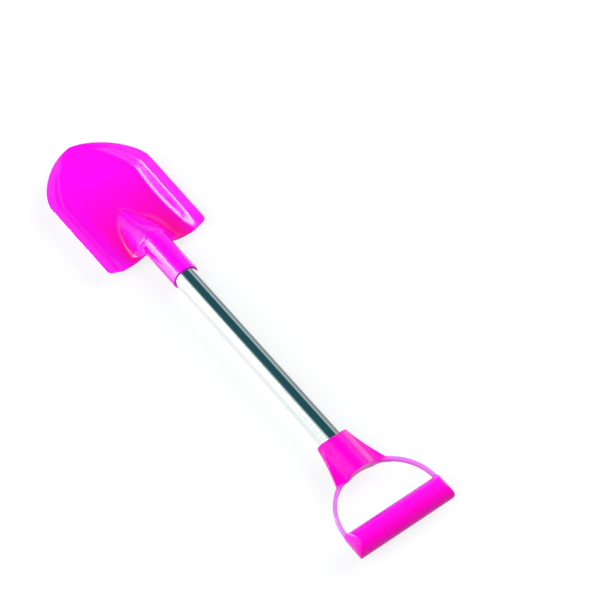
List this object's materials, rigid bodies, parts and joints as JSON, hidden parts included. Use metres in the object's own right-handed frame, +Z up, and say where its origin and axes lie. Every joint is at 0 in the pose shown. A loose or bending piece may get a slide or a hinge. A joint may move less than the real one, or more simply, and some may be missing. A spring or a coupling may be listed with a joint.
{
  "type": "sand shovel",
  "caption": "Child's sand shovel: magenta moulded pointed scoop and D-grip joined by a polished steel tube.",
  "frame": {"origin": "on the surface the shovel lies on, under the middle of its bounding box", "axes": "+Y along the shaft towards the blade's tip, +X across the blade, +Z up out of the scoop"},
  "size_m": [0.088, 0.413, 0.0234],
  "materials": {
    "magenta_plastic": "moulded, semi-gloss",
    "polished_steel": "bright polished tube",
    "screw_steel": "zinc plated"
  },
  "bodies": {
    "root": {"blade": "magenta_plastic", "shaft_tube": "polished_steel", "handle": "magenta_plastic", "blade_screw": "screw_steel", "handle_screw": "screw_steel"}
  },
  "joints": []
}
